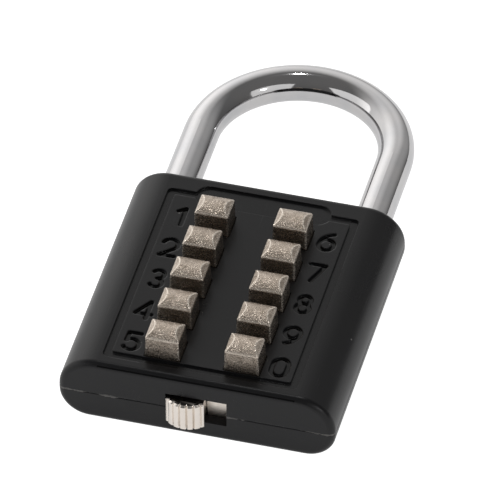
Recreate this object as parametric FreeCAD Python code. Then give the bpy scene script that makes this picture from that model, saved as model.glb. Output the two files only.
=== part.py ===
"""Push-button combination padlock, ten keys in two columns, built as separate pieces.

Frame: millimetres, origin at the centre of the flat back, +Z out through the keys,
+Y towards the shackle, +X to the right for someone facing the keys.
"""
import FreeCAD, Part
import math
import os

os.makedirs("parts", exist_ok=True)

V = FreeCAD.Vector

# Body, two die-cast shells that meet at the seam
BODY_WIDTH = 51.2
BODY_LENGTH = 52.6
BODY_DEPTH = 13.6
SEAM_Z = 6.2
FRONT_SIDE_RADIUS = 7.0
BACK_SIDE_RADIUS = 5.6
END_FILLET = 1.2
SEAM_CHAMFER = 0.12
FRONT_WALL_Z = 11.4
BACK_WALL_Z = 1.2
CAVITY_HALF_X = 13.2
CAVITY_Y = (-24.3, 24.2)
CORE_POCKET_X = (-22.3, -14.7)
CORE_POCKET_Y = (-15.0, 6.0)
CORE_POCKET_Z = (1.9, 11.0)

# Decoration pressed into the front
RELIEF_DEPTH = 0.45
PANEL_HALF_X = 16.5
PANEL_Y = (-22.3, 20.4)
PANEL_BAND = 1.5
BADGE_CENTRE_Y = 21.4
BADGE_HALF_LENGTH = 12.7
BADGE_RADIUS = 2.6
DIGIT_DEPTH = 0.5
DIGIT_STROKE = 0.86
DIGIT_SCALE = 1.07
DIGIT_X = 13.65
DIGIT_BOTTOM_Y = -18.9

# Keys
ROWS = 5
ROW_PITCH = 8.45
FIRST_ROW_Y = -19.31
COLUMN_X = 7.33
KEY_BASE = (6.6, 5.3)
KEY_SHOULDER = (6.28, 5.1)
KEY_SHOULDER_HEIGHT = 4.45
KEY_CROWN = 0.7
KEY_HIP_INSET = 1.1
KEY_EDGE_ROUND = 0.16
KEY_CLEARANCE = 0.12
FLANGE = (7.4, 6.4)
FLANGE_Z = (10.2, 11.3)
SHANK = (3.0, 4.4)
SHANK_BOTTOM_Z = 4.3
SHANK_NOTCH_WIDTH = 2.6
SHANK_NOTCH_Z = (5.4, 9.1)
KEY_PEG_RADIUS = 0.9
KEY_PEG_LENGTH = 1.0
LEFT_KEYS = ("5", "4", "3", "2", "1")
RIGHT_KEYS = ("0", "9", "8", "7", "6")

# Webs and rails that carry the slider between the rows
WEB_WIDTH = 1.4
WEB_HALF_X = 11.4
WEB_BOTTOM_Z = 7.1
RAIL_TOP_Z = 5.4

# Shackle
BAR_RADIUS = 3.4
BORE_RADIUS = 3.55
LEG_X = 18.3
LEG_Z = SEAM_Z
BEND_CENTRE_Y = 45.4
HEEL_BOTTOM_Y = -8.0
HEEL_BORE_BOTTOM_Y = -17.2
TOE_BOTTOM_Y = 17.0
TOE_BORE_BOTTOM_Y = 16.6
HEEL_NOTCH_DEPTH = 1.5
HEEL_NOTCH_Y = (-3.2, 11.2)
HEEL_GROOVE_TOP_Y = -0.8
TOE_NOTCH_DEPTH = 1.2
TOE_NOTCH_Y = (22.1, 24.1)
LIFT_PER_SLIDE = 3.0
BORE_MOUTH_CHAMFER = 0.35

# Heel retaining pin and rivets
HEEL_PIN_RADIUS = 1.0
HEEL_PIN_X = 15.25
HEEL_PIN_Y = 10.0
HEEL_PIN_Z = (1.9, 11.0)
PIN_CLEARANCE = 0.03
RIVETS = ((-16.8, 11.0), (-16.8, -20.5), (16.8, -20.5), (7.0, 20.3))
RIVET_RADIUS = 1.0
RIVET_HEAD_RADIUS = 1.9
RIVET_HEAD_DEPTH = 1.0
RIVET_TOP_Z = 11.7
POST_RADIUS = 1.9

# Code slider, a steel comb plate
SLIDER_Z = (5.6, 6.8)
SLIDER_X = (-12.9, 9.0)
SLIDER_BOTTOM_Y = -23.9
SLIDER_TOP_Y = 24.0
POCKET_HALF = (1.8, 2.4)
NECK_REACH = 5.7
NECK_HALF_Y = 1.5
SPRING_SLOT_X = -4.5
SPRING_SLOT_Y = (18.2, 22.4)
LATCH_TIP_X = -15.9
LATCH_Y = (22.3, 23.9)
SCREEN_Y = (-24.1, -23.3)
SCREEN_Z = (3.7, 9.3)
SCREENS_X = ((-12.5, -5.6), (1.6, 9.0))
TAB_X = (-3.9, -0.1)
TAB_FRONT_Y = -25.4

# Opening knob in the bottom end
END_WINDOW_X = (-5.6, 5.7)
END_WINDOW_Z = (3.95, 9.42)
KNOB_X = -2.0
KNOB_BACK_Y = -26.45
KNOB_NECK_HALF_X = 3.4
KNOB_NECK_Z = (4.1, 8.54)
KNOB_ARC_RADIUS = 4.85
KNOB_ARC_Y = -23.15
KNOB_REAR_Y = -22.7
KNOB_Z = (2.65, 8.54)
FLUTE_PITCH = 16.0
FLUTE_COUNT = 6
FLUTE_WIDTH = 0.42
KNOB_PIN_RADIUS = 0.6
KNOB_PIN_Y = -24.5

# Springs
KEY_SPRING_WIRE = 0.32
KEY_SPRING_RADIUS = 1.3
KEY_SPRING_Z = (1.25, 4.25)
KEY_SPRING_TURNS = 3.0
SLIDER_SPRING_WIRE = 0.35
SLIDER_SPRING_RADIUS = 1.12
SLIDER_SPRING_X = (-4.4, 5.0)
SLIDER_SPRING_TURNS = 9.0
HEEL_SPRING_WIRE = 0.7
HEEL_SPRING_RADIUS = 2.45
HEEL_SPRING_Y = (-17.1, -8.1)
HEEL_SPRING_TURNS = 6.0
DETENT_X = (12.0, 12.3)
DETENT_Y = (-22.6, 17.8)
DETENT_Z = (7.5, 11.3)
DETENT_TIP_X = 11.2
DETENT_HALF_WIDTH = 1.6


def block(x, y, z):
    """A box from three (low, high) pairs."""
    size = (x[1] - x[0], y[1] - y[0], z[1] - z[0])
    return Part.makeBox(size[0], size[1], size[2], V(x[0], y[0], z[0]))


def rod(radius, start, axis, length):
    return Part.makeCylinder(radius, length, V(*start), V(*axis))


def prism(points, direction):
    """A solid swept from a closed outline of straight lines."""
    outline = Part.makePolygon([V(*p) for p in points] + [V(*points[0])])
    return Part.Face(outline).extrude(V(*direction))


def row_y(row):
    return FIRST_ROW_Y + ROW_PITCH * row


def gap_y(row):
    """Middle of the gap between one row and the next."""
    return row_y(row) + ROW_PITCH / 2


# ---- shells ---------------------------------------------------------------

def on_end_outline(edge, seam_z):
    box = edge.BoundBox
    on_end = box.YLength < 1e-6 and abs(abs(box.YMax) - BODY_LENGTH / 2) < 1e-6
    on_seam = box.ZLength < 1e-6 and abs(box.ZMax - seam_z) < 1e-6
    return on_end and not on_seam


def on_seam_outline(edge, seam_z):
    box = edge.BoundBox
    return box.ZLength < 1e-6 and abs(box.ZMax - seam_z) < 1e-6


def is_long_corner(edge, face_z):
    box = edge.BoundBox
    return box.YLength > BODY_LENGTH - 1 and abs(box.ZMax - face_z) < 1e-6


def shell_blank(face_z, side_radius):
    """Outer form of one shell, solid, with its big side rounds and small end rounds."""
    z = (min(face_z, SEAM_Z), max(face_z, SEAM_Z))
    half_x = BODY_WIDTH / 2
    half_y = BODY_LENGTH / 2
    blank = block((-half_x, half_x), (-half_y, half_y), z)
    corners = [e for e in blank.Edges if is_long_corner(e, face_z)]
    blank = blank.makeFillet(side_radius, corners)
    ends = [e for e in blank.Edges if on_end_outline(e, SEAM_Z)]
    blank = blank.makeFillet(END_FILLET, ends)
    seam = [e for e in blank.Edges if on_seam_outline(e, SEAM_Z)]
    return blank.makeChamfer(SEAM_CHAMFER, seam)


def shackle_bores():
    heel_length = BODY_LENGTH / 2 - HEEL_BORE_BOTTOM_Y + 1
    toe_length = BODY_LENGTH / 2 - TOE_BORE_BOTTOM_Y + 1
    heel = rod(BORE_RADIUS, (LEG_X, HEEL_BORE_BOTTOM_Y, LEG_Z), (0, 1, 0), heel_length)
    toe = rod(BORE_RADIUS, (-LEG_X, TOE_BORE_BOTTOM_Y, LEG_Z), (0, 1, 0), toe_length)
    bores = [heel, toe]
    for x in (-LEG_X, LEG_X):
        start = V(x, BODY_LENGTH / 2 - BORE_MOUTH_CHAMFER, LEG_Z)
        wide = BORE_RADIUS + BORE_MOUTH_CHAMFER
        bores.append(Part.makeCone(BORE_RADIUS, wide, BORE_MOUTH_CHAMFER, start, V(0, 1, 0)))
    return bores


def rivet_holes():
    holes = []
    for x, y in RIVETS:
        holes.append(rod(RIVET_RADIUS, (x, y, -1), (0, 0, 1), RIVET_TOP_Z + 1))
        holes.append(rod(RIVET_HEAD_RADIUS, (x, y, -1), (0, 0, 1), RIVET_HEAD_DEPTH + 1))
    return holes


def shared_cuts():
    """Openings that both shells carry half of."""
    pin = rod(HEEL_PIN_RADIUS + PIN_CLEARANCE, (HEEL_PIN_X, HEEL_PIN_Y, HEEL_PIN_Z[0]),
              (0, 0, 1), HEEL_PIN_Z[1] - HEEL_PIN_Z[0])
    window_y = (-BODY_LENGTH / 2 - 1, CAVITY_Y[0] + 0.1)
    window = block(END_WINDOW_X, window_y, END_WINDOW_Z)
    latch_slot = block((-LEG_X, -CAVITY_HALF_X + 0.1), (LATCH_Y[0] - 0.2, LATCH_Y[1] + 0.2),
                       (SLIDER_Z[0] - 0.2, SLIDER_Z[1] + 0.2))
    core = block(CORE_POCKET_X, CORE_POCKET_Y, CORE_POCKET_Z)
    return shackle_bores() + rivet_holes() + [pin, window, latch_slot, core]


def arc_stroke(x, y, radius, start, end, z, height):
    """Engraving stroke along a circular arc, angles in degrees, counter-clockwise."""
    half = DIGIT_STROKE / 2
    centre = V(x, y, z)
    ring = Part.makeCylinder(radius + half, height, centre, V(0, 0, 1), end - start)
    ring = ring.cut(Part.makeCylinder(radius - half, height, centre, V(0, 0, 1)))
    ring.rotate(centre, V(0, 0, 1), start)
    pieces = [ring]
    for angle in (start, end):
        tip_x = x + radius * math.cos(math.radians(angle))
        tip_y = y + radius * math.sin(math.radians(angle))
        pieces.append(rod(half, (tip_x, tip_y, z), (0, 0, 1), height))
    return pieces


def line_stroke(x0, y0, x1, y1, z, height):
    half = DIGIT_STROKE / 2
    length = math.hypot(x1 - x0, y1 - y0)
    bar = Part.makeBox(length, DIGIT_STROKE, height, V(x0, y0 - half, z))
    bar.rotate(V(x0, y0, z), V(0, 0, 1), math.degrees(math.atan2(y1 - y0, x1 - x0)))
    tips = [rod(half, (x, y, z), (0, 0, 1), height) for x, y in ((x0, y0), (x1, y1))]
    return [bar] + tips


# Each digit is a few strokes about its own centre: ("line", x0, y0, x1, y1)
# or ("arc", centre x, centre y, radius, start angle, end angle).
DIGITS = {
    "0": (("arc", 0, 0.75, 1.3, 0, 180), ("arc", 0, -0.75, 1.3, 180, 360),
          ("line", -1.3, -0.75, -1.3, 0.75), ("line", 1.3, -0.75, 1.3, 0.75)),
    "1": (("line", 0.3, -2.05, 0.3, 2.05), ("line", 0.3, 2.05, -0.85, 1.2)),
    "2": (("arc", 0, 0.75, 1.3, -49, 165), ("line", 0.85, -0.23, -1.3, -2.05),
          ("line", -1.3, -2.05, 1.3, -2.05)),
    "3": (("arc", 0, 1.05, 1.0, -90, 150), ("arc", 0, -1.0, 1.05, -150, 90)),
    "4": (("line", 0.65, -2.05, 0.65, 2.05), ("line", -1.4, -1.0, 1.4, -1.0),
          ("line", 0.65, 2.05, -1.4, -1.0)),
    "5": (("line", -0.95, 2.05, 1.1, 2.05), ("line", -0.95, 2.05, -1.05, 0.09),
          ("arc", -0.05, -0.75, 1.3, -150, 140)),
    "6": (("arc", 0, -0.75, 1.3, 0, 360), ("arc", 1.5, -0.75, 2.8, 105, 180)),
    "7": (("line", -1.3, 2.05, 1.3, 2.05), ("line", 1.3, 2.05, -0.4, -2.05)),
    "8": (("arc", 0, 1.07, 0.98, 0, 360), ("arc", 0, -0.93, 1.12, 0, 360)),
    "9": (("arc", 0, 0.75, 1.3, 0, 360), ("arc", -1.5, 0.75, 2.8, 285, 360)),
}


def digit_cut(name, x, y):
    z = BODY_DEPTH - DIGIT_DEPTH
    height = DIGIT_DEPTH + 0.5
    pieces = []
    k = DIGIT_SCALE
    for kind, a, b, c, d, *rest in DIGITS[name]:
        if kind == "line":
            pieces += line_stroke(x + a * k, y + b * k, x + c * k, y + d * k, z, height)
        else:
            pieces += arc_stroke(x + a * k, y + b * k, c * k, d, rest[0], z, height)
    return pieces[0].multiFuse(pieces[1:]).removeSplitter()


def panel_outline(grow):
    x = (-PANEL_HALF_X - grow, PANEL_HALF_X + grow)
    y = (PANEL_Y[0] - grow, PANEL_Y[1] + grow)
    plate = block(x, y, (BODY_DEPTH - RELIEF_DEPTH, BODY_DEPTH + 1))
    uprights = [e for e in plate.Edges if e.BoundBox.ZLength > 1]
    return plate.makeFillet(0.4 + grow / 3, uprights)


def badge_recess():
    z = BODY_DEPTH - RELIEF_DEPTH
    straight = BADGE_HALF_LENGTH - BADGE_RADIUS
    y = (BADGE_CENTRE_Y - BADGE_RADIUS, BADGE_CENTRE_Y + BADGE_RADIUS)
    middle = block((-straight, straight), y, (z, BODY_DEPTH + 1))
    ends = [rod(BADGE_RADIUS, (x, BADGE_CENTRE_Y, z), (0, 0, 1), RELIEF_DEPTH + 1)
            for x in (-straight, straight)]
    return middle.multiFuse(ends)


def front_relief():
    """Everything sunk into the front face: the frame groove, the badge and the digits."""
    frame = panel_outline(PANEL_BAND).cut(panel_outline(0))
    relief = [frame.fuse(badge_recess())]
    for row in range(ROWS):
        y = DIGIT_BOTTOM_Y + ROW_PITCH * row
        relief.append(digit_cut(LEFT_KEYS[row], -DIGIT_X, y))
        relief.append(digit_cut(RIGHT_KEYS[row], DIGIT_X, y))
    return relief


def key_windows():
    windows = []
    half_x = KEY_BASE[0] / 2 + KEY_CLEARANCE
    half_y = KEY_BASE[1] / 2 + KEY_CLEARANCE
    for row in range(ROWS):
        y = row_y(row)
        for x in (-COLUMN_X, COLUMN_X):
            windows.append(block((x - half_x, x + half_x), (y - half_y, y + half_y),
                                 (FRONT_WALL_Z - 1, BODY_DEPTH + 1)))
    return windows


def cross_bars(z):
    """Thin bars across the cavity, one between each row of keys and the next."""
    bars = []
    for row in range(ROWS - 1):
        y = gap_y(row)
        bars.append(block((-WEB_HALF_X, WEB_HALF_X), (y - WEB_WIDTH / 2, y + WEB_WIDTH / 2), z))
    return bars


def front_shell():
    shell = shell_blank(BODY_DEPTH, FRONT_SIDE_RADIUS)
    cavity_x = (-CAVITY_HALF_X, CAVITY_HALF_X)
    shell = shell.cut(block(cavity_x, CAVITY_Y, (SEAM_Z - 1, FRONT_WALL_Z)))
    post = rod(POST_RADIUS, (RIVETS[3][0], RIVETS[3][1], SEAM_Z), (0, 0, 1),
               FRONT_WALL_Z - SEAM_Z + 0.5)
    shell = shell.multiFuse(cross_bars((WEB_BOTTOM_Z, FRONT_WALL_Z + 0.5)) + [post])
    shell = shell.cut(shared_cuts() + key_windows())
    return shell.cut(front_relief()).removeSplitter()


def back_shell():
    shell = shell_blank(0.0, BACK_SIDE_RADIUS)
    cavity_x = (-CAVITY_HALF_X, CAVITY_HALF_X)
    shell = shell.cut(block(cavity_x, CAVITY_Y, (BACK_WALL_Z, SEAM_Z + 1)))
    post = rod(POST_RADIUS, (RIVETS[3][0], RIVETS[3][1], BACK_WALL_Z - 0.5), (0, 0, 1),
               SEAM_Z - BACK_WALL_Z + 0.5)
    shell = shell.multiFuse(cross_bars((BACK_WALL_Z - 0.5, RAIL_TOP_Z)) + [post])
    return shell.cut(shared_cuts()).removeSplitter()


def shell_rivets():
    """Four flush rivets headed on the back and swaged blind in the front shell."""
    rivets = []
    for x, y in RIVETS:
        shank = rod(RIVET_RADIUS, (x, y, 0), (0, 0, 1), RIVET_TOP_Z)
        head = rod(RIVET_HEAD_RADIUS, (x, y, 0), (0, 0, 1), RIVET_HEAD_DEPTH)
        rivets.append(shank.fuse(head).removeSplitter())
    return Part.makeCompound(rivets)


# ---- shackle --------------------------------------------------------------

def shackle_bar():
    heel = rod(BAR_RADIUS, (LEG_X, HEEL_BOTTOM_Y, LEG_Z), (0, 1, 0), BEND_CENTRE_Y - HEEL_BOTTOM_Y)
    toe = rod(BAR_RADIUS, (-LEG_X, TOE_BOTTOM_Y, LEG_Z), (0, 1, 0), BEND_CENTRE_Y - TOE_BOTTOM_Y)
    tips = []
    for leg, size in ((heel, 0.5), (toe, 0.9)):
        bottom = min(leg.Edges, key=lambda e: e.BoundBox.YMax)
        tips.append(leg.makeChamfer(size, [bottom]))
    bend = Part.makeTorus(LEG_X, BAR_RADIUS, V(0, BEND_CENTRE_Y, LEG_Z), V(0, 0, 1), -180, 180, 180)
    return tips[0].multiFuse([tips[1], bend]).removeSplitter()


def shackle():
    """Round bar with a retaining flat and ring on the heel and a latch notch on the toe."""
    inner_x = LEG_X - BAR_RADIUS
    z = (LEG_Z - BAR_RADIUS - 1, LEG_Z + BAR_RADIUS + 1)
    flat = block((inner_x - 1, inner_x + HEEL_NOTCH_DEPTH), HEEL_NOTCH_Y, z)
    ring_length = HEEL_GROOVE_TOP_Y - HEEL_NOTCH_Y[0]
    ring_start = (LEG_X, HEEL_NOTCH_Y[0], LEG_Z)
    ring = rod(BAR_RADIUS + 1, ring_start, (0, 1, 0), ring_length)
    ring = ring.cut(rod(BAR_RADIUS - HEEL_NOTCH_DEPTH, ring_start, (0, 1, 0), ring_length))
    floor_x = -inner_x - TOE_NOTCH_DEPTH
    out_x = -inner_x + 0.5
    low_y = TOE_NOTCH_Y[0] - LIFT_PER_SLIDE * (TOE_NOTCH_DEPTH + 0.5)
    notch = prism([(out_x, TOE_NOTCH_Y[1], z[0]), (floor_x, TOE_NOTCH_Y[1], z[0]),
                   (floor_x, TOE_NOTCH_Y[0], z[0]), (out_x, low_y, z[0])], (0, 0, z[1] - z[0]))
    return shackle_bar().cut([flat, ring, notch]).removeSplitter()


def heel_retaining_pin():
    start = (HEEL_PIN_X, HEEL_PIN_Y, HEEL_PIN_Z[0])
    return rod(HEEL_PIN_RADIUS, start, (0, 0, 1), HEEL_PIN_Z[1] - HEEL_PIN_Z[0])


# ---- code slider and knob -------------------------------------------------

def keyhole(x, y):
    """Room for one key shank, with a neck on its left for the notched shank to pass."""
    pocket = block((x - POCKET_HALF[0], x + POCKET_HALF[0]),
                   (y - POCKET_HALF[1], y + POCKET_HALF[1]), (SLIDER_Z[0] - 1, SLIDER_Z[1] + 1))
    neck = block((x - NECK_REACH, x), (y - NECK_HALF_Y, y + NECK_HALF_Y),
                 (SLIDER_Z[0] - 1, SLIDER_Z[1] + 1))
    return [pocket, neck]


def code_slider():
    """Steel comb plate with the latch at its top left and a screen behind the end window."""
    plate = block(SLIDER_X, (SLIDER_BOTTOM_Y, SPRING_SLOT_Y[0]), SLIDER_Z)
    top = block((SLIDER_X[0], SPRING_SLOT_X), (SPRING_SLOT_Y[0] - 1, SLIDER_TOP_Y), SLIDER_Z)
    arm = block((SPRING_SLOT_X - 1, SLIDER_X[1]), (SPRING_SLOT_Y[1], SLIDER_TOP_Y), SLIDER_Z)
    latch = block((LATCH_TIP_X, SLIDER_X[0] + 1), LATCH_Y, SLIDER_Z)
    tab = block(TAB_X, (TAB_FRONT_Y, SLIDER_BOTTOM_Y + 1), SLIDER_Z)
    screens = [block(x, SCREEN_Y, SCREEN_Z) for x in SCREENS_X]
    plate = plate.multiFuse([top, arm, latch, tab] + screens)
    holes = [rod(KNOB_PIN_RADIUS, (KNOB_X, KNOB_PIN_Y, 0), (0, 0, 1), BODY_DEPTH)]
    for row in range(ROWS):
        for x in (-COLUMN_X, COLUMN_X):
            holes += keyhole(x, row_y(row))
    return plate.cut(holes).removeSplitter()


def knob_head():
    """D-shaped grip that stands proud of the end face, round where the finger pushes."""
    half = math.sqrt(KNOB_ARC_RADIUS ** 2 - (KNOB_ARC_Y - KNOB_BACK_Y) ** 2)
    left = V(KNOB_X - half, KNOB_BACK_Y, KNOB_Z[0])
    right = V(KNOB_X + half, KNOB_BACK_Y, KNOB_Z[0])
    front = V(KNOB_X, KNOB_ARC_Y - KNOB_ARC_RADIUS, KNOB_Z[0])
    arc = Part.Arc(left, front, right).toShape()
    back = Part.makePolygon([right, left])
    return Part.Face(Part.Wire([arc] + back.Edges)).extrude(V(0, 0, KNOB_Z[1] - KNOB_Z[0]))


def flutes():
    """Upright grip grooves, evenly spaced round the knob's arc."""
    centre = V(KNOB_X, KNOB_ARC_Y, 0)
    cuts = []
    for index in range(FLUTE_COUNT):
        angle = (index - (FLUTE_COUNT - 1) / 2) * FLUTE_PITCH
        corner = V(KNOB_X - FLUTE_WIDTH / 2, KNOB_ARC_Y - KNOB_ARC_RADIUS - FLUTE_WIDTH / 2, 0)
        groove = Part.makeBox(FLUTE_WIDTH, FLUTE_WIDTH, BODY_DEPTH, corner)
        groove.rotate(V(KNOB_X, KNOB_ARC_Y - KNOB_ARC_RADIUS, 0), V(0, 0, 1), 45)
        groove.rotate(centre, V(0, 0, 1), angle)
        cuts.append(groove)
    return cuts


def slider_knob():
    """Fluted head, a neck through the end window and two jaws that straddle the slider."""
    neck_x = (KNOB_X - KNOB_NECK_HALF_X, KNOB_X + KNOB_NECK_HALF_X)
    neck = block(neck_x, (KNOB_BACK_Y - 0.5, KNOB_REAR_Y), KNOB_NECK_Z)
    slot_z = (SLIDER_Z[0] - 0.05, SLIDER_Z[1] + 0.05)
    slot_x = (neck_x[0] - 1, neck_x[1] + 1)
    plate_slot = block(slot_x, (SLIDER_BOTTOM_Y - 0.3, KNOB_REAR_Y + 1), slot_z)
    tab_slot = block((TAB_X[0] - 0.05, TAB_X[1] + 0.05), (TAB_FRONT_Y - 0.1, KNOB_REAR_Y), slot_z)
    pin = rod(KNOB_PIN_RADIUS, (KNOB_X, KNOB_PIN_Y, 0), (0, 0, 1), BODY_DEPTH)
    grip = knob_head().cut(flutes())
    return grip.fuse(neck).cut([plate_slot, tab_slot, pin]).removeSplitter()


def knob_pin():
    start = (KNOB_X, KNOB_PIN_Y, KNOB_NECK_Z[0] + 0.1)
    return rod(KNOB_PIN_RADIUS, start, (0, 0, 1), KNOB_NECK_Z[1] - KNOB_NECK_Z[0] - 0.2)


# ---- keys -----------------------------------------------------------------

def key_cap():
    """Key head: drafted block with a barrel top and two sloping hips, edges rounded."""
    face = BODY_DEPTH
    shoulder = face + KEY_SHOULDER_HEIGHT
    crown = shoulder + KEY_CROWN
    base_x = KEY_BASE[0] / 2
    base_y = KEY_BASE[1] / 2
    top_x = KEY_SHOULDER[0] / 2
    top_y = KEY_SHOULDER[1] / 2
    rise = 2.0
    hip_x = top_x - KEY_HIP_INSET * rise
    hip_z = shoulder + KEY_CROWN * rise
    front = prism([(-base_x, -4, face), (base_x, -4, face), (top_x, -4, shoulder),
                   (hip_x, -4, hip_z), (-hip_x, -4, hip_z), (-top_x, -4, shoulder)], (0, 8, 0))
    start = V(-4, -top_y, shoulder)
    end = V(-4, top_y, shoulder)
    barrel = Part.Arc(start, V(-4, 0, crown), end).toShape()
    walls = Part.makePolygon([end, V(-4, base_y, face), V(-4, -base_y, face), start])
    side = Part.Face(Part.Wire([barrel] + walls.Edges)).extrude(V(8, 0, 0))
    cap = front.common(side)
    edges = [e for e in cap.Edges if e.BoundBox.ZMax > face + 0.1]
    return cap.makeFillet(KEY_EDGE_ROUND, edges)


def key():
    """One whole key at the frame's own X and Y zero: cap, flange, notched shank and peg."""
    neck = block((-KEY_BASE[0] / 2, KEY_BASE[0] / 2), (-KEY_BASE[1] / 2, KEY_BASE[1] / 2),
                 (FLANGE_Z[1], BODY_DEPTH))
    flange = block((-FLANGE[0] / 2, FLANGE[0] / 2), (-FLANGE[1] / 2, FLANGE[1] / 2), FLANGE_Z)
    shank = block((-SHANK[0] / 2, SHANK[0] / 2), (-SHANK[1] / 2, SHANK[1] / 2),
                  (SHANK_BOTTOM_Z, FLANGE_Z[0]))
    notches = []
    for side in (-1, 1):
        near = side * SHANK_NOTCH_WIDTH / 2
        far = side * SHANK[1]
        notches.append(block((-SHANK[0], SHANK[0]), (min(near, far), max(near, far)),
                             SHANK_NOTCH_Z))
    peg = rod(KEY_PEG_RADIUS, (0, 0, SHANK_BOTTOM_Z - KEY_PEG_LENGTH), (0, 0, 1), KEY_PEG_LENGTH)
    return key_cap().multiFuse([neck, flange, shank.cut(notches), peg]).removeSplitter()


def coil(radius, wire, length, turns):
    """Round-wire helical spring standing on Z zero, with one face to each turn."""
    path = Part.makeLongHelix((length - wire) / turns, length - wire, radius)
    section = Part.Wire([Part.makeCircle(wire / 2, V(radius, 0, 0), V(0, 1, 0))])
    spring = path.makePipeShell([section], True, True)
    spring.translate(V(0, 0, wire / 2))
    return spring


# ---- springs --------------------------------------------------------------

def slider_spring():
    spring = coil(SLIDER_SPRING_RADIUS, SLIDER_SPRING_WIRE,
                  SLIDER_SPRING_X[1] - SLIDER_SPRING_X[0], SLIDER_SPRING_TURNS)
    spring.rotate(V(0, 0, 0), V(0, 1, 0), 90)
    spring.translate(V(SLIDER_SPRING_X[0], RIVETS[3][1], sum(SLIDER_Z) / 2))
    return spring


def heel_spring():
    spring = coil(HEEL_SPRING_RADIUS, HEEL_SPRING_WIRE,
                  HEEL_SPRING_Y[1] - HEEL_SPRING_Y[0], HEEL_SPRING_TURNS)
    spring.rotate(V(0, 0, 0), V(1, 0, 0), -90)
    spring.translate(V(LEG_X, HEEL_SPRING_Y[0], LEG_Z))
    return spring


def detent_spring(side):
    """Leaf strip along one wall of the cavity with a bowed finger beside every key flange."""
    strip = block(DETENT_X, DETENT_Y, DETENT_Z)
    fingers = []
    for row in range(ROWS):
        y = row_y(row)
        outline = [(DETENT_X[0] + 0.1, y - DETENT_HALF_WIDTH, DETENT_Z[0]),
                   (DETENT_TIP_X, y - 0.4, DETENT_Z[0]), (DETENT_TIP_X, y + 0.4, DETENT_Z[0]),
                   (DETENT_X[0] + 0.1, y + DETENT_HALF_WIDTH, DETENT_Z[0])]
        fingers.append(prism(outline, (0, 0, DETENT_Z[1] - DETENT_Z[0] - 1.6)))
    hollows = []
    for row in range(ROWS):
        y = row_y(row)
        outline = [(DETENT_X[1] + 0.1, y - DETENT_HALF_WIDTH + 0.1, DETENT_Z[0] - 1),
                   (DETENT_TIP_X + 0.3, y - 0.25, DETENT_Z[0] - 1),
                   (DETENT_TIP_X + 0.3, y + 0.25, DETENT_Z[0] - 1),
                   (DETENT_X[1] + 0.1, y + DETENT_HALF_WIDTH - 0.1, DETENT_Z[0] - 1)]
        hollows.append(prism(outline, (0, 0, DETENT_Z[1] - DETENT_Z[0] - 1.0)))
    spring = strip.multiFuse(fingers).cut(hollows).removeSplitter()
    return spring if side > 0 else spring.mirror(V(0, 0, 0), V(1, 0, 0))


def save(shape, name):
    """Write one piece after making sure it is a clean solid."""
    if not shape.isValid() or shape.Volume <= 0:
        raise ValueError(name + " is not a valid solid")
    shape.exportStep("parts/" + name + ".step")


save(front_shell(), "front_shell")
save(back_shell(), "back_shell")
save(shell_rivets(), "shell_rivets")
save(shackle(), "shackle")
save(heel_spring(), "heel_spring")
save(heel_retaining_pin(), "heel_retaining_pin")
save(code_slider(), "code_slider")
save(slider_knob(), "slider_knob")
save(knob_pin(), "knob_pin")
save(slider_spring(), "slider_spring")
save(detent_spring(1), "detent_spring_right")
save(detent_spring(-1), "detent_spring_left")

for names, column_x in ((LEFT_KEYS, -COLUMN_X), (RIGHT_KEYS, COLUMN_X)):
    for row, digit in enumerate(names):
        piece = key()
        piece.translate(V(column_x, row_y(row), 0))
        save(piece, "button_" + digit)
        spring = coil(KEY_SPRING_RADIUS, KEY_SPRING_WIRE,
                      KEY_SPRING_Z[1] - KEY_SPRING_Z[0], KEY_SPRING_TURNS)
        spring.translate(V(column_x, row_y(row), KEY_SPRING_Z[0]))
        save(spring, "button_spring_" + digit)
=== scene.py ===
"""Looks, light and camera for a ten-key push-button padlock lying on its back.

Metres throughout. +Z points out through the keys, +Y along the shackle, and the
origin is the middle of the flat back.
"""
import math

import bmesh
import bpy
from mathutils import Matrix, Vector, noise


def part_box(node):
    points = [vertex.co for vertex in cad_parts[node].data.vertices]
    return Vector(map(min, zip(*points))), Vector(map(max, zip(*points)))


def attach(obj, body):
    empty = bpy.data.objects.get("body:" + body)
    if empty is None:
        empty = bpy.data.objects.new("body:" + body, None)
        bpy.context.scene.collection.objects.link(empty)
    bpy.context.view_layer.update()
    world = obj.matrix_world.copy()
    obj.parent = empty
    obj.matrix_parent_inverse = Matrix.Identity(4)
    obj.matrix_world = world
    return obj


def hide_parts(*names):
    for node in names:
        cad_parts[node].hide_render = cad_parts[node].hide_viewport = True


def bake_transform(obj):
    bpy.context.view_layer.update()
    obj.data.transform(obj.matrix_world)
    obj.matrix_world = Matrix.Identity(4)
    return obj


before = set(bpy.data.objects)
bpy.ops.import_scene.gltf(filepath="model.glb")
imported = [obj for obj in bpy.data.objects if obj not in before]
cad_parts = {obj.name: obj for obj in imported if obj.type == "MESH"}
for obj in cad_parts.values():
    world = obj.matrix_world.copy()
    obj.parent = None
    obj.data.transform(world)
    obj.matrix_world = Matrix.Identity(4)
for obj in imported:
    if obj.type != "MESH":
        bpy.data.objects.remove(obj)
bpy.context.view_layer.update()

# ---- Painted body shells --------------------------------------------------
# Two zinc die castings, sprayed with satin black enamel and riveted together.
# The spray leaves a faint orange peel. Handling chips the paint along the seam
# and leaves hairline rubs and a little dust on the faces.
# The digits' floors are painted near black as shade.


def shader_group(name, inputs, outputs):
    """An empty shader group with named sockets, and its input and output nodes."""
    tree = bpy.data.node_groups.new(name, "ShaderNodeTree")
    for label, kind, value in inputs:
        socket = tree.interface.new_socket(label, in_out="INPUT", socket_type=kind)
        socket.default_value = value
    for label, kind in outputs:
        tree.interface.new_socket(label, in_out="OUTPUT", socket_type=kind)
    return tree, tree.nodes.new("NodeGroupInput"), tree.nodes.new("NodeGroupOutput")


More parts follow.
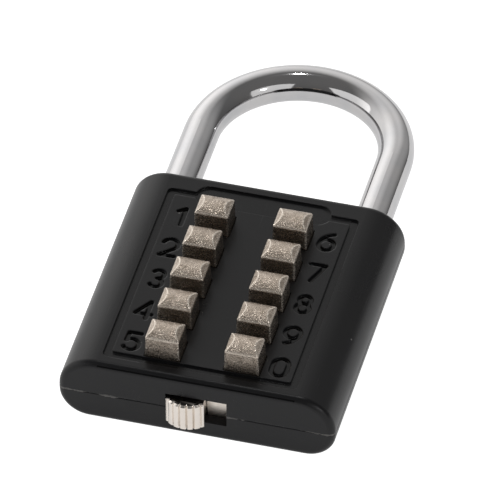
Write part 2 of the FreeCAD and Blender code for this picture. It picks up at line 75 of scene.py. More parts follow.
def add_node(tree, kind, settings=None, **values):
    """A node with its own settings, and with numbers or links put on its input sockets.

    A socket goes by its label, or by its number where that is written as _0 or _1.
    """
    node = tree.nodes.new(kind)
    for key, value in (settings or {}).items():
        setattr(node, key, value)
    for key, value in values.items():
        label = key.replace("_", " ")
        socket = node.inputs[int(key[1:])] if key[1:].isdigit() else node.inputs[label]
        if isinstance(value, bpy.types.NodeSocket):
            tree.links.new(value, socket)
        else:
            socket.default_value = value
    return node


def noise_height(tree, position, scale, detail=2.0, roughness=0.5):
    return add_node(tree, "ShaderNodeTexNoise", Vector=position, Scale=scale, Detail=detail,
                    Roughness=roughness).outputs["Fac"]


def between(tree, value, low, high, to_low=0.0, to_high=1.0):
    """Maps low..high onto to_low..to_high and clamps it there."""
    return add_node(tree, "ShaderNodeMapRange", Value=value, From_Min=low, From_Max=high,
                    To_Min=to_low, To_Max=to_high).outputs["Result"]


def arithmetic(tree, operation, a, b=0.0):
    return add_node(tree, "ShaderNodeMath", {"operation": operation}, _0=a, _1=b).outputs[0]


def mixed_colour(tree, amount, a, b):
    node = add_node(tree, "ShaderNodeMix", {"data_type": "RGBA"}, _0=amount, _6=a, _7=b)
    return node.outputs[2]


def bump(tree, height, strength, distance):
    return add_node(tree, "ShaderNodeBump", Height=height, Strength=strength,
                    Distance=distance).outputs["Normal"]


def placed_group(tree, group, **values):
    return add_node(tree, "ShaderNodeGroup", {"node_tree": group}, **values)


def object_position(tree):
    return add_node(tree, "ShaderNodeTexCoord").outputs["Object"]


def principled(name, metallic, **constants):
    """A new material, its node tree and its shader, with plain numbers on the shader."""
    material = bpy.data.materials.new(name)
    material.use_nodes = True
    tree = material.node_tree
    shader = tree.nodes["Principled BSDF"]
    shader.inputs["Metallic"].default_value = metallic
    for key, value in constants.items():
        shader.inputs[key.replace("_", " ")].default_value = value
    return material, tree, shader


def finish_shader(tree, shader, colour, roughness, normal):
    tree.links.new(colour, shader.inputs["Base Color"])
    tree.links.new(roughness, shader.inputs["Roughness"])
    tree.links.new(normal, shader.inputs["Normal"])


def dress_node(node_name, material):
    """Gives a CAD node its material in place of the plain one it came with."""
    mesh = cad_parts[node_name].data
    mesh.materials.clear()
    mesh.materials.append(material)


def handling_marks_group():
    """Dust specks and hairline rubs, as two masks over the surface."""
    tree, given, result = shader_group(
        "handling marks",
        [("Position", "NodeSocketVector", (0, 0, 0)), ("Speck Amount", "NodeSocketFloat", 0.5),
         ("Rub Amount", "NodeSocketFloat", 0.5)],
        [("Specks", "NodeSocketFloat"), ("Rubs", "NodeSocketFloat")])
    position = given.outputs["Position"]
    cells = add_node(tree, "ShaderNodeTexVoronoi", Vector=position, Scale=420.0, Randomness=1.0)
    dot = between(tree, cells.outputs["Distance"], 0.05, 0.09, 1.0, 0.0)
    chosen = add_node(tree, "ShaderNodeSeparateColor", Color=cells.outputs["Color"]).outputs[0]
    rare = between(tree, chosen, 0.93, 0.95)
    specks = arithmetic(tree, "MULTIPLY", arithmetic(tree, "MULTIPLY", dot, rare),
                        given.outputs["Speck Amount"])
    rubs = None
    for angle in (0.5, -0.9, 1.9):
        turned = add_node(tree, "ShaderNodeMapping", Vector=position, Rotation=(0.2, 0.1, angle),
                          Scale=(1.0, 0.04, 1.0)).outputs[0]
        line = between(tree, noise_height(tree, turned, 2600.0, 1.0), 0.735, 0.77)
        rubs = line if rubs is None else arithmetic(tree, "MAXIMUM", rubs, line)
    patches = between(tree, noise_height(tree, position, 90.0), 0.5, 0.65)
    rubs = arithmetic(tree, "MULTIPLY", arithmetic(tree, "MULTIPLY", rubs, patches),
                      given.outputs["Rub Amount"])
    tree.links.new(specks, result.inputs["Specks"])
    tree.links.new(rubs, result.inputs["Rubs"])
    return tree


def seam_chips_group():
    """Ragged paint chips that follow the level where the two shells meet."""
    tree, given, result = shader_group(
        "seam chips",
        [("Position", "NodeSocketVector", (0, 0, 0)), ("Seam Height", "NodeSocketFloat", 0.0),
         ("Reach", "NodeSocketFloat", 0.0004)],
        [("Chips", "NodeSocketFloat")])
    parts = add_node(tree, "ShaderNodeSeparateXYZ", Vector=given.outputs["Position"])
    away = arithmetic(tree, "SUBTRACT", parts.outputs["Z"], given.outputs["Seam Height"])
    away = arithmetic(tree, "DIVIDE", arithmetic(tree, "ABSOLUTE", away), given.outputs["Reach"])
    ragged = noise_height(tree, given.outputs["Position"], 1500.0, 3.0)
    where = between(tree, noise_height(tree, given.outputs["Position"], 130.0, 1.0), 0.48, 0.62)
    chips = arithmetic(tree, "SUBTRACT", arithmetic(tree, "MULTIPLY", ragged, where),
                       arithmetic(tree, "MULTIPLY", away, 0.5))
    tree.links.new(between(tree, chips, 0.12, 0.2), result.inputs["Chips"])
    return tree


handling_marks = handling_marks_group()
seam_chips = seam_chips_group()
seam_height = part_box("back_shell")[1].z
front_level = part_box("front_shell")[1].z

# Each pair is where a fade starts and ends: depths below the front, where the
# digits' floors take painted shade, then distances from the middle line.
shade_top_depth = (0.00044, 0.00049)
shade_bottom_depth = (0.0008, 0.0007)
panel_edge = (0.0182, 0.0183)
digits_inner_edge = (0.0109, 0.0110)
digits_outer_edge = (0.0163, 0.0164)
casting_edge_radius = 0.00013
extra_digit_radius = 0.00027

enamel_black = (0.0075, 0.0075, 0.0082, 1)
enamel_grey = (0.0105, 0.0105, 0.0115, 1)
rubbed_enamel = (0.05, 0.05, 0.052, 1)
pale_dust = (0.30, 0.29, 0.28, 1)
bare_zinc = (0.15, 0.145, 0.14, 1)
# Painted shade for the digits' floors.
painted_shade_black = (0.0015, 0.0015, 0.0017, 1)


def digit_floor_shade_and_gloss(tree, position):
    """Mask of the digits' floors, which are painted dark as shade and made glossier."""
    parts = add_node(tree, "ShaderNodeSeparateXYZ", Vector=position)
    deep = between(tree, parts.outputs["Z"], *(front_level - d for d in shade_top_depth))
    below = between(tree, parts.outputs["Z"], *(front_level - d for d in shade_bottom_depth))
    inside = between(tree, arithmetic(tree, "ABSOLUTE", parts.outputs["X"]), *panel_edge,
                     1.0, 0.0)
    return arithmetic(tree, "MULTIPLY", arithmetic(tree, "MULTIPLY", deep, below), inside)


def rounded_edges(tree, position):
    """Normal that rounds the painted edges, and rounds them more in the two digit columns."""
    across = add_node(tree, "ShaderNodeSeparateXYZ", Vector=position).outputs["X"]
    across = arithmetic(tree, "ABSOLUTE", across)
    in_column = arithmetic(tree, "MULTIPLY", between(tree, across, *digits_inner_edge),
                           between(tree, across, *digits_outer_edge, 1.0, 0.0))
    radius = arithmetic(tree, "ADD", arithmetic(tree, "MULTIPLY", in_column, extra_digit_radius),
                        casting_edge_radius)
    return add_node(tree, "ShaderNodeBevel", {"samples": 8}, Radius=radius).outputs["Normal"]


def black_enamel(name, roughness, peel):
    """Satin enamel with dust, rubs, seam chips and painted shade in the digits' floors, over an
    orange peel of the given strength.
    """
    material, tree, shader = principled(name, 0.0, IOR=1.5, Specular_IOR_Level=0.235)
    position = object_position(tree)
    digit_shade_and_gloss = digit_floor_shade_and_gloss(tree, position)
    marks = placed_group(tree, handling_marks, Position=position, Speck_Amount=0.55,
                         Rub_Amount=0.35)
    chips = placed_group(tree, seam_chips, Position=position, Seam_Height=seam_height,
                         Reach=0.00024).outputs["Chips"]
    cloud = noise_height(tree, position, 60.0, 3.0)
    colour = mixed_colour(tree, cloud, enamel_black, enamel_grey)
    colour = mixed_colour(tree, marks.outputs["Rubs"], colour, rubbed_enamel)
    colour = mixed_colour(tree, marks.outputs["Specks"], colour, pale_dust)
    colour = mixed_colour(tree, chips, colour, bare_zinc)
    # Painted shade: the digits' floors go near black.
    colour = mixed_colour(tree, digit_shade_and_gloss, colour, painted_shade_black)
    gloss = between(tree, cloud, 0.3, 0.7, roughness - 0.03, roughness + 0.04)
    gloss = arithmetic(tree, "SUBTRACT", gloss, arithmetic(tree, "MULTIPLY", digit_shade_and_gloss, 0.2))
    gloss = arithmetic(tree, "MAXIMUM", gloss, arithmetic(tree, "MULTIPLY", chips, 0.5))
    skin = noise_height(tree, position, 1700.0, 2.0)
    fine_skin = noise_height(tree, position, 7000.0, 1.0)
    skin = arithmetic(tree, "ADD", skin, arithmetic(tree, "MULTIPLY", fine_skin, 0.25))
    skin = arithmetic(tree, "SUBTRACT", skin, arithmetic(tree, "MULTIPLY", chips, 1.5))
    coat = bump(tree, skin, peel, 0.00003)
    tree.links.new(rounded_edges(tree, position), coat.node.inputs["Normal"])
    finish_shader(tree, shader, colour, gloss, coat)
    return material


body_enamel = black_enamel("satin black enamel", roughness=0.29, peel=0.22)
for shell in ("front_shell", "back_shell"):
    dress_node(shell, body_enamel)

# ---- Body rivets ----------------------------------------------------------
# Four flush steel rivets, headed in countersinks on the back and painted over
# with the body, so their faces are a little rougher than the casting round them.

dress_node("shell_rivets", black_enamel("enamel over rivet heads", roughness=0.44, peel=0.4))

# ---- Shackle --------------------------------------------------------------
# A hardened steel bar bent to a U, polished and chrome plated. The plate keeps
# faint polishing waves and a few hairlines from hasps.


def plated_metal(name, light, dark, roughness, spread, wave_scale, wave_strength, rub_amount):
    """Bright plating over polished metal, with soft waves, hairlines and a slight tone shift."""
    material, tree, shader = principled(name, 1.0, IOR=1.5)
    position = object_position(tree)
    marks = placed_group(tree, handling_marks, Position=position, Speck_Amount=0.2,
                         Rub_Amount=rub_amount)
    cloud = noise_height(tree, position, 150.0, 3.0)
    colour = mixed_colour(tree, between(tree, cloud, 0.35, 0.65), dark, light)
    gloss = between(tree, cloud, 0.3, 0.7, roughness, roughness + spread)
    gloss = arithmetic(tree, "ADD", gloss,
                       arithmetic(tree, "MULTIPLY", marks.outputs["Rubs"], 0.25))
    waves = noise_height(tree, position, wave_scale, 2.0)
    waves = arithmetic(tree, "ADD", waves,
                       arithmetic(tree, "MULTIPLY", marks.outputs["Rubs"], -0.1))
    finish_shader(tree, shader, colour, gloss, bump(tree, waves, wave_strength, 0.0001))
    return material


shackle_chrome = plated_metal("polished chrome", light=(0.55, 0.54, 0.54, 1),
                              dark=(0.50, 0.50, 0.51, 1), roughness=0.045, spread=0.05,
                              wave_scale=220.0, wave_strength=0.05, rub_amount=0.5)
dress_node("shackle", shackle_chrome)

# ---- Pins -----------------------------------------------------------------
# Plain ground steel dowels: one crosses the flat and ring cut in the heel and
# keeps it in the body, the other pins the knob to the slider plate.

ground_steel = plated_metal("ground steel", light=(0.52, 0.51, 0.49, 1),
                            dark=(0.42, 0.41, 0.40, 1), roughness=0.25, spread=0.12,
                            wave_scale=2500.0, wave_strength=0.15, rub_amount=0.3)
for pin in ("heel_retaining_pin", "knob_pin"):
    dress_node(pin, ground_steel)

# ---- Code slider ----------------------------------------------------------
# A comb plate blanked from steel strip and dull nickel plated. Its bent-up
# screen is the light patch beside the knob, and its rolled grain runs across.


clean_nickel = (0.93, 0.86, 0.78, 1)
stained_nickel = (0.80, 0.73, 0.66, 1)


def rolled_nickel():
    """Nickel with the long grain of rolled strip and soft stains."""
    material, tree, shader = principled("dull nickel on rolled steel", 1.0, IOR=1.5)
    position = object_position(tree)
    along = add_node(tree, "ShaderNodeMapping", Vector=position, Scale=(0.08, 1.0, 1.0)).outputs[0]
    grain = noise_height(tree, along, 9000.0, 3.0)
    stain = noise_height(tree, position, 500.0, 4.0)
    colour = mixed_colour(tree, between(tree, stain, 0.35, 0.7), clean_nickel, stained_nickel)
    gloss = between(tree, grain, 0.3, 0.7, 0.30, 0.42)
    finish_shader(tree, shader, colour, gloss, bump(tree, grain, 0.25, 0.00003))
    return material


dress_node("code_slider", rolled_nickel())

# ---- Opening knob ---------------------------------------------------------
# A small zinc casting in bright nickel. Upright flutes round its front give the
# finger grip, its ends are flat with a thin chamfer, and a neck goes in through
# the end window to two jaws that straddle the slider plate.

crease_angle = math.radians(38)


def piece_object(name, mesh_builder, material, body):
    """Turns a bmesh into a smooth-shaded piece that rides on a body, if one is given."""
    mesh = bpy.data.meshes.new(name)
    bmesh.ops.recalc_face_normals(mesh_builder, faces=mesh_builder.faces)
    mesh_builder.to_mesh(mesh)
    mesh_builder.free()
    mesh.materials.append(material)
    mesh.shade_smooth()
    mesh.set_sharp_from_angle(angle=crease_angle)
    piece = bpy.data.objects.new(name, mesh)
    bpy.context.scene.collection.objects.link(piece)
    if body:
        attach(piece, body)
    return piece


def loft(builder, rings):
    """Skins a list of rings that have the same number of points, and closes both ends."""
    rows = [[builder.verts.new(point) for point in ring] for ring in rings]
    count = len(rows[0])
    for low, high in zip(rows, rows[1:]):
        for i in range(count):
            builder.faces.new((low[i], low[(i + 1) % count], high[(i + 1) % count], high[i]))
    builder.faces.new(list(reversed(rows[0])))
    builder.faces.new(rows[-1])


def chamfered_block(builder, low, high, chamfer):
    """A rectangular block whose upright corners and both ends are broken by a small chamfer."""
    def ring(z, inset):
        x0, x1, y0, y1 = low[0] + inset, high[0] - inset, low[1] + inset, high[1] - inset
        c = chamfer
        return [Vector(p + (z,)) for p in ((x0 + c, y0), (x1 - c, y0), (x1, y0 + c), (x1, y1 - c),
                                           (x1 - c, y1), (x0 + c, y1), (x0, y1 - c), (x0, y0 + c))]
    loft(builder, [ring(low[2], chamfer), ring(low[2] + chamfer, 0),
                   ring(high[2] - chamfer, 0), ring(high[2], chamfer)])


knob_low, knob_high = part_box("slider_knob")
knob_centre_x = (knob_low.x + knob_high.x) / 2
knob_arc_radius = 0.00485
knob_arc_y = knob_low.y + knob_arc_radius
knob_back_y = -0.02645
flute_pitch = math.radians(16.0)
flute_half_width = math.radians(2.5)
flute_depth = 0.00030
flute_run_out = 0.02
lobe_crown = 0.00007
arc_steps = 168
knob_chamfer = 0.00034
neck_half = 0.0034
neck_start_y = -0.0266
neck_bottom_z = 0.0041
jaw_start_y = -0.0242
jaw_gap_z = (0.00555, 0.00685)
jaw_chamfer = 0.0001


def knob_ring(z, inset):
    """Outline of the knob's head at one level: a fluted arc closed by a straight back."""
    limit = math.acos((knob_arc_y - knob_back_y) / (knob_arc_radius - inset))
    points = []
    for i in range(arc_steps + 1):
        angle = -limit + 2 * limit * i / arc_steps
        off_lobe = (angle / flute_pitch + 0.5) % 1.0 - 0.5
        to_flute = (0.5 - abs(off_lobe)) * flute_pitch
        dip = flute_depth * max(0.0, 1.0 - to_flute / flute_half_width)
        dip += lobe_crown * (2 * off_lobe) ** 2
        fade = min(1.0, (limit - abs(angle)) / flute_run_out)
        radius = knob_arc_radius - inset - dip * fade
        points.append(Vector((knob_centre_x + radius * math.sin(angle),
                              knob_arc_y - radius * math.cos(angle), z)))
    return points


knob_metal = plated_metal("bright nickel", light=(0.83, 0.77, 0.71, 1),
                          dark=(0.75, 0.69, 0.63, 1), roughness=0.14, spread=0.08,
                          wave_scale=900.0, wave_strength=0.06, rub_amount=0.8)
builder = bmesh.new()
loft(builder, [knob_ring(knob_low.z, knob_chamfer), knob_ring(knob_low.z + knob_chamfer, 0),
               knob_ring(knob_high.z - knob_chamfer, 0), knob_ring(knob_high.z, knob_chamfer)])
neck_and_jaws = ((neck_start_y, jaw_start_y, neck_bottom_z, knob_high.z),
                 (jaw_start_y, knob_high.y, neck_bottom_z, jaw_gap_z[0]),
                 (jaw_start_y, knob_high.y, jaw_gap_z[1], knob_high.z))
for y0, y1, z0, z1 in neck_and_jaws:
    chamfered_block(builder, (knob_centre_x - neck_half, y0, z0),
                    (knob_centre_x + neck_half, y1, z1), jaw_chamfer)
knob = piece_object("opening_knob", builder, knob_metal, "slider")
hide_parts("slider_knob")

# ---- Keys -----------------------------------------------------------------
# Ten zinc castings tumbled and plated in antique nickel. Each head has a barrel
# top between two sloping hips, a sandy skin and edges rubbed bright, which are
# painted brighter still as highlights. Below the shell a flange stops the key
# and a notched shank works the slider.


fresh_nickel = (0.53, 0.455, 0.385, 1)
aged_nickel = (0.35, 0.29, 0.235, 1)
pit_brown = (0.16, 0.135, 0.115, 1)
tarnish_brown = (0.27, 0.23, 0.19, 1)
# Bare nickel on rubbed edges, lightened further as a painted highlight.
rubbed_bright_and_highlight = (0.96, 0.88, 0.78, 1)


def worn_and_highlighted_nickel():
    """Nickel over a sandy casting, dark in its pits, bright where the mesh marks wear and painted
    brighter there as highlights.
    """
    material, tree, shader = principled("antique nickel on sandy casting", 1.0, IOR=1.5)
    position = object_position(tree)
    wear_and_highlight = add_node(tree, "ShaderNodeAttribute", {"attribute_name": "edge_wear_and_highlight"}).outputs["Fac"]
    sand = noise_height(tree, position, 3400.0, 4.0, 0.7)
    patches = noise_height(tree, position, 900.0, 4.0, 0.6)
    tarnish = noise_height(tree, position, 260.0, 3.0)
    colour = mixed_colour(tree, between(tree, patches, 0.35, 0.7), fresh_nickel, aged_nickel)
    colour = mixed_colour(tree, between(tree, sand, 0.44, 0.34), colour, pit_brown)
    colour = mixed_colour(tree, between(tree, tarnish, 0.55, 0.75, 0.0, 0.45), colour,
                          tarnish_brown)
    # Worn edges are also painted bright as highlights along ridges, rims and corners.
    bright = arithmetic(tree, "MULTIPLY", wear_and_highlight, between(tree, patches, 0.3, 0.6, 0.45, 1.0))
    colour = mixed_colour(tree, bright, colour, rubbed_bright_and_highlight)
    gloss = between(tree, sand, 0.3, 0.7, 0.38, 0.20)
    grains = add_node(tree, "ShaderNodeTexVoronoi", Vector=position, Scale=4300.0)
    height = arithmetic(tree, "ADD", sand, arithmetic(tree, "MULTIPLY", patches, 0.8))
    height = arithmetic(tree, "SUBTRACT", height,
                        arithmetic(tree, "MULTIPLY", grains.outputs["Distance"], 0.4))
    finish_shader(tree, shader, colour, gloss, bump(tree, height, 0.9, 0.00011))
    return material


key_metal = worn_and_highlighted_nickel()
shoulder_rise = 0.00445
crown_rise = 0.0007
hip_inset = 0.0011
barrel_radius = 0.0050
shoulder_half = (0.00314, 0.00255)
base_half = (0.0033, 0.00265)
corner_round = 0.00030
rim_round = 0.00022
ridge_reach = 0.00009
ridge_softening = 0.00003
dent_depth = 0.00004
centre_gap = 0.00008
corner_points, side_points = 3, 22
wall_steps, rim_steps, top_steps = 9, 4, 22
# How strongly ridges, corners and rims are marked, for wear and painted highlight.
ridge_wear_and_highlight, corner_wear_and_highlight, rim_wear_and_highlight = 1.0, 0.5, 0.35
flange_top = front_level - 0.0023
shank_top = flange_top - 0.0011
flange_half = (0.0037, 0.0032)
shank_half = (0.0015, 0.0022)
notch_half_y = 0.0013
notch_z = (0.0054, 0.0091)
shank_bottom = 0.0043
peg_half = 0.0006
shank_chamfer = 0.00008


def key_top(x, y):
    """Rise of the key's top above the shell, and its wear and painted highlight along the ridge of
    a hip.
    """
    barrel = shoulder_rise + crown_rise - (barrel_radius - math.sqrt(barrel_radius ** 2 - y * y))
    hip = shoulder_rise + (shoulder_half[0] - abs(x)) * crown_rise / hip_inset
    gap = abs(barrel - hip) / ridge_reach
    softened = ridge_softening * max(0.0, 1.0 - gap) ** 2
    return min(barrel, hip) - softened, max(0.0, ridge_wear_and_highlight - gap * 0.8)


def rounded_rectangle(half_x, half_y, radius):
    """Points round a rectangle with round corners, evenly spaced on each side."""
    corners = ((1, 1, 0), (-1, 1, 90), (-1, -1, 180), (1, -1, 270))
    points = []
    for index, (sx, sy, start) in enumerate(corners):
        centre = Vector((sx * (half_x - radius), sy * (half_y - radius)))
        for i in range(corner_points + 1):
            angle = math.radians(start + 90 * i / corner_points)
            points.append(centre + radius * Vector((math.cos(angle), math.sin(angle))))
        next_x, next_y, _ = corners[(index + 1) % 4]
        last = points[-1]
        turned = math.radians(start + 90)
        target = Vector((next_x * (half_x - radius), next_y * (half_y - radius)))
        target += radius * Vector((math.cos(turned), math.sin(turned)))
        points += [last.lerp(target, i / side_points) for i in range(1, side_points)]
    return points


def key_rings(seed):
    """Rings up the key's walls, over the rounded rim and in across its top, and their wear and
    painted highlight.
    """
    shift = Vector((seed * 7.3, seed * 3.1, seed * 5.7))
    rings, ring_wear_and_highlight = [], []
    wall_levels = [flange_top, front_level]
    wall_levels += [front_level + shoulder_rise * t / wall_steps for t in range(1, wall_steps)]
    for z in wall_levels:
        part = min(1.0, max(0.0, (z - front_level) / shoulder_rise))
        half_x = base_half[0] + (shoulder_half[0] - base_half[0]) * part
        half_y = base_half[1] + (shoulder_half[1] - base_half[1]) * part
        ring, wear_and_highlight = [], []
        for p in rounded_rectangle(half_x, half_y, corner_round):
            point = Vector((p.x, p.y, z))
            dent = 0.5 + 0.5 * noise.noise(point * 1700 + shift)
            inward = 1.0 - dent_depth * dent / half_x * (1 if part > 0.0 else 0)
            corner = abs(abs(p.x) - half_x) < corner_round and abs(abs(p.y) - half_y) < corner_round
            ring.append(Vector((p.x * inward, p.y * inward, z)))
            wear_and_highlight.append(corner_wear_and_highlight if corner and part > 0.0 else 0.0)
        rings.append(ring)
        ring_wear_and_highlight.append(wear_and_highlight)
    insets = [rim_round * (1 - math.cos(math.radians(90 * i / rim_steps)))
              for i in range(rim_steps + 1)]
    insets += [rim_round + (shoulder_half[1] - rim_round - centre_gap) * i / top_steps
               for i in range(1, top_steps + 1)]
    for index, inset in enumerate(insets):
        half_x = shoulder_half[0] - inset * shoulder_half[0] / shoulder_half[1]
        half_y = shoulder_half[1] - inset
        radius = corner_round * half_y / shoulder_half[1]
        ring, wear_and_highlight = [], []
        for p in rounded_rectangle(half_x, half_y, radius):
            rise, ridge = key_top(p.x, p.y)
            drop = 0.0
            if inset < rim_round:
                drop = rim_round - math.sqrt(rim_round ** 2 - (rim_round - inset) ** 2)
            point = Vector((p.x, p.y, 0))
            dent = 0.5 + 0.5 * noise.noise(point * 1900 + shift)
            dent += 0.35 * (0.5 + 0.5 * noise.noise(point * 5200 + shift))
            z = front_level + rise - drop - dent_depth * dent
            ring.append(Vector((p.x, p.y, z)))
            wear_and_highlight.append(max(ridge, rim_wear_and_highlight if index <= rim_steps else 0.0))
        rings.append(ring)
        ring_wear_and_highlight.append(wear_and_highlight)
    return rings, ring_wear_and_highlight


def make_key(digit, seed):
    """One key, with its own pattern of dents, centred on its node."""
    low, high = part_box("button_" + digit)
    centre = Vector(((low.x + high.x) / 2, (low.y + high.y) / 2, 0))
    rings, ring_wear_and_highlight = key_rings(seed)
    builder = bmesh.new()
    loft(builder, [[p + centre for p in ring] for ring in rings])
    wear_and_highlight_values = [w for ring in ring_wear_and_highlight for w in ring]
    blocks = ((flange_half, shank_top, flange_top), (shank_half, notch_z[1], shank_top),
              ((shank_half[0], notch_half_y), notch_z[0], notch_z[1]),
              (shank_half, shank_bottom, notch_z[0]), ((peg_half, peg_half), low.z, shank_bottom))
    for (half_x, half_y), z0, z1 in blocks:
        chamfered_block(builder, Vector((-half_x, -half_y, z0)) + centre,
                        Vector((half_x, half_y, z1)) + centre, shank_chamfer)
    key = piece_object("key_head_" + digit, builder, key_metal, "key_" + digit)
    wear_and_highlight_values += [0.0] * (len(key.data.vertices) - len(wear_and_highlight_values))
    attribute = key.data.attributes.new("edge_wear_and_highlight", "FLOAT", "POINT")
    attribute.data.foreach_set("value", wear_and_highlight_values)
    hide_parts("button_" + digit)


for seed, digit in enumerate("1234567890", start=1):
    make_key(digit, seed)

# ---- Coil springs ---------------------------------------------------------
# Hard-drawn steel wire wound on a mandrel, a little closer towards the ends. One
# sits under every key, one returns the slider and a stout one lifts the heel.

spring_wire = plated_metal("drawn spring wire", light=(0.50, 0.48, 0.45, 1),
                           dark=(0.36, 0.35, 0.33, 1), roughness=0.22, spread=0.12,
                           wave_scale=3000.0, wave_strength=0.2, rub_amount=0.2)
steps_per_turn = 28
wire_sides = 8
end_crowding = 0.10


def coil_spring(name, start, end, coil_radius, wire_radius, turns, node):
    """Wire wound round the line from start to end, between the body and a moving body."""
    start, end = Vector(start), Vector(end)
    axis = (end - start).normalized()
    length = (end - start).length
    turn_to_axis = Vector((0, 0, 1)).rotation_difference(axis).to_matrix()
    steps = turns * steps_per_turn
    builder = bmesh.new()
    rings = []
    for i in range(steps + 1):
        t = i / steps
        eased = t - end_crowding * math.sin(2 * math.pi * t) / math.pi
        along = wire_radius + (length - 2 * wire_radius) * eased
        angle = 2 * math.pi * turns * t
        outward = Vector((math.cos(angle), math.sin(angle), 0))
        ring = []
        for k in range(wire_sides):
            a = 2 * math.pi * k / wire_sides
            offset = outward * math.cos(a) * wire_radius + Vector((0, 0, math.sin(a) * wire_radius))
            ring.append(start + turn_to_axis @ (outward * coil_radius + offset
                                                + Vector((0, 0, along))))
        rings.append(ring)
    loft(builder, rings)
    spring = piece_object(name, builder, spring_wire, None)
    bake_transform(spring)
    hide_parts(node)


for digit in "1234567890":
    low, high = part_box("button_spring_" + digit)
    key_low, key_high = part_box("button_" + digit)
    x, y = (key_low.x + key_high.x) / 2, (key_low.y + key_high.y) / 2
    coil_spring("key_spring_" + digit, (x, y, low.z), (x, y, high.z), coil_radius=0.0013,
                wire_radius=0.00016, turns=3, node="button_spring_" + digit)

low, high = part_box("slider_spring")
middle = (low + high) / 2
coil_spring("slider_return_spring", (high.x, middle.y, middle.z), (low.x, middle.y, middle.z),
            coil_radius=0.00112, wire_radius=0.000175, turns=9, node="slider_spring")
low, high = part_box("heel_spring")
middle = (low + high) / 2
coil_spring("shackle_lift_spring", (middle.x, low.y, middle.z), (middle.x, high.y, middle.z),
            coil_radius=0.00245, wire_radius=0.00035, turns=6, node="heel_spring")

# ---- Detent strips --------------------------------------------------------
# Two leaf strips of spring steel along the cavity walls. A bowed finger beside
# each key's flange gives the click as the key goes down.

strip_steel = plated_metal("blued spring strip", light=(0.34, 0.34, 0.36, 1),
                           dark=(0.22, 0.23, 0.27, 1), roughness=0.25, spread=0.15,
                           wave_scale=2000.0, wave_strength=0.15, rub_amount=0.5)
for strip in ("detent_spring_left", "detent_spring_right"):
    dress_node(strip, strip_steel)

# ---- Table and light ------------------------------------------------------
# A seamless white sweep inside a fabric light tent. The tent's back and left
# walls glow and its right side stays dim. Two small lamps add the sparkle, and
# two white cards in front make the crisp shapes inside the bend of the bar.

bpy.context.scene.view_settings.view_transform = "Standard"


glow_as_reflector, glow_to_camera = 0.62, 1.0
sweep_half_width = 4.0
gap_under_body = 0.00002


def white_sweep():
    """Pale paper that the camera sees burnt out to white and that reflects as a mid grey."""
    material, tree, shader = principled("white sweep", 0.0)
    paper = noise_height(tree, object_position(tree), 900.0, 3.0)
    colour = mixed_colour(tree, paper, (0.60, 0.60, 0.60, 1), (0.64, 0.64, 0.64, 1))
    finish_shader(tree, shader, colour, between(tree, paper, 0.3, 0.7, 0.85, 0.95),
                  bump(tree, paper, 0.05, 0.0001))
    seen = add_node(tree, "ShaderNodeLightPath").outputs["Is Camera Ray"]
    shader.inputs["Emission Color"].default_value = (1, 1, 1, 1)
    tree.links.new(between(tree, seen, 0.0, 1.0, glow_as_reflector, glow_to_camera),
                   shader.inputs["Emission Strength"])
    return material


sweep_mesh = bpy.data.meshes.new("sweep")
builder = bmesh.new()
bmesh.ops.create_grid(builder, x_segments=8, y_segments=8, size=sweep_half_width)
builder.to_mesh(sweep_mesh)
builder.free()
sweep_mesh.materials.append(white_sweep())
sweep = bpy.data.objects.new("sweep", sweep_mesh)
sweep.location.z = -gap_under_body
bpy.context.scene.collection.objects.link(sweep)


def glow(tree, direction, toward, spread, brightness):
    """One soft lobe of the light tent, brightest along one direction and fading round it."""
    aligned = add_node(tree, "ShaderNodeVectorMath", {"operation": "DOT_PRODUCT"}, _0=direction,
                       _1=Vector(toward).normalized()).outputs["Value"]
    return add_node(tree, "ShaderNodeMapRange", {"interpolation_type": "SMOOTHSTEP"},
                    Value=aligned, From_Min=math.cos(math.radians(spread)), From_Max=1.0,
                    To_Min=0.0, To_Max=brightness).outputs["Result"]


# Each lobe of the tent: the direction it glows from, its spread in degrees and its brightness.
tent_lobes = (((0, 0, 1), 180, 0.10), ((-0.3, 0.8, 0.44), 42, 0.62),
              ((-0.85, 0.5, 0.15), 60, 1.0), ((0.33, 0.82, 0.42), 36, 0.32))
dim_fabric = 0.08


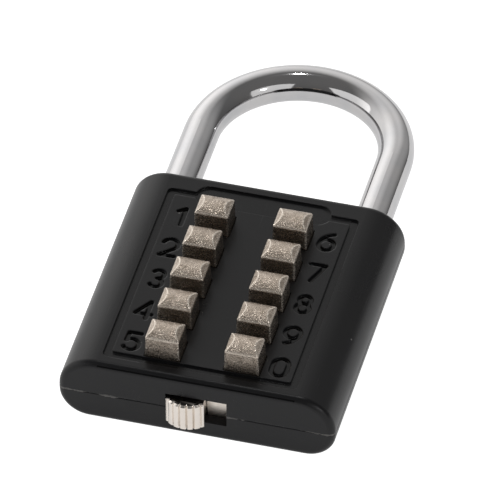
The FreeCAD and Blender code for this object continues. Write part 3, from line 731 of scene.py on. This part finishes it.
def light_tent():
    """A white fabric tent, lit through its back and left walls and dim elsewhere."""
    world = bpy.data.worlds.new("light tent")
    bpy.context.scene.world = world
    world.use_nodes = True
    tree = world.node_tree
    direction = add_node(tree, "ShaderNodeTexCoord").outputs["Generated"]
    total = None
    for toward, spread, brightness in tent_lobes:
        lobe = glow(tree, direction, toward, spread, brightness)
        total = lobe if total is None else arithmetic(tree, "ADD", total, lobe)
    total = arithmetic(tree, "ADD", total, dim_fabric)
    tree.links.new(total, tree.nodes["Background"].inputs["Strength"])
    tree.nodes["Background"].inputs["Color"].default_value = (1.0, 0.99, 0.98, 1)


light_tent()


def soft_box(name, position, size, brightness):
    """A white rectangular panel of even brightness, aimed at the middle of the back."""
    light = bpy.data.lights.new(name, "AREA")
    light.shape = "RECTANGLE"
    light.size, light.size_y = size
    light.energy = brightness * math.pi * size[0] * size[1]
    panel = bpy.data.objects.new(name, light)
    panel.location = position
    panel.rotation_euler = (-Vector(position)).to_track_quat("-Z", "Y").to_euler()
    bpy.context.scene.collection.objects.link(panel)


soft_box("sparkle lamp", (-0.07, 0.25, 0.965), size=(0.03, 0.03), brightness=330.0)
soft_box("corner lamp", (0.77, -0.45, 0.466), size=(0.09, 0.09), brightness=26.0)
soft_box("left card", (-0.8, -0.45, 0.33), size=(1.0, 0.72), brightness=0.9)
soft_box("right card", (0.66, -0.58, 0.33), size=(0.9, 0.72), brightness=0.8)

# ---- Camera ---------------------------------------------------------------
# A long lens from the knob end, a little to the right and well above, so the
# sides of the body stay almost parallel.

camera_azimuth = math.radians(15.331)
camera_elevation = math.radians(43.157)
camera_roll = math.radians(-0.667)
camera_distance = 1.564
lens_length, film_width, nearest_seen = 624.65, 36.0, 0.05
aim_y = -0.0008
aim_right, aim_up = 0.00323, 0.00663
camera = bpy.data.objects.new("camera", bpy.data.cameras.new("camera"))
camera.data.lens = lens_length
camera.data.sensor_width = film_width
camera.data.clip_start = nearest_seen
back = Vector((math.sin(camera_azimuth) * math.cos(camera_elevation),
               -math.cos(camera_azimuth) * math.cos(camera_elevation),
               math.sin(camera_elevation)))
level_right = Vector((math.cos(camera_azimuth), math.sin(camera_azimuth), 0))
level_up = back.cross(level_right)
right = math.cos(camera_roll) * level_right + math.sin(camera_roll) * level_up
up = math.cos(camera_roll) * level_up - math.sin(camera_roll) * level_right
target = Vector((0, aim_y, front_level)) + right * aim_right + up * aim_up
camera.matrix_world = Matrix.Translation(target + back * camera_distance) @ Matrix(
    (right, up, back)).transposed().to_4x4()
bpy.context.scene.collection.objects.link(camera)
bpy.context.scene.camera = camera
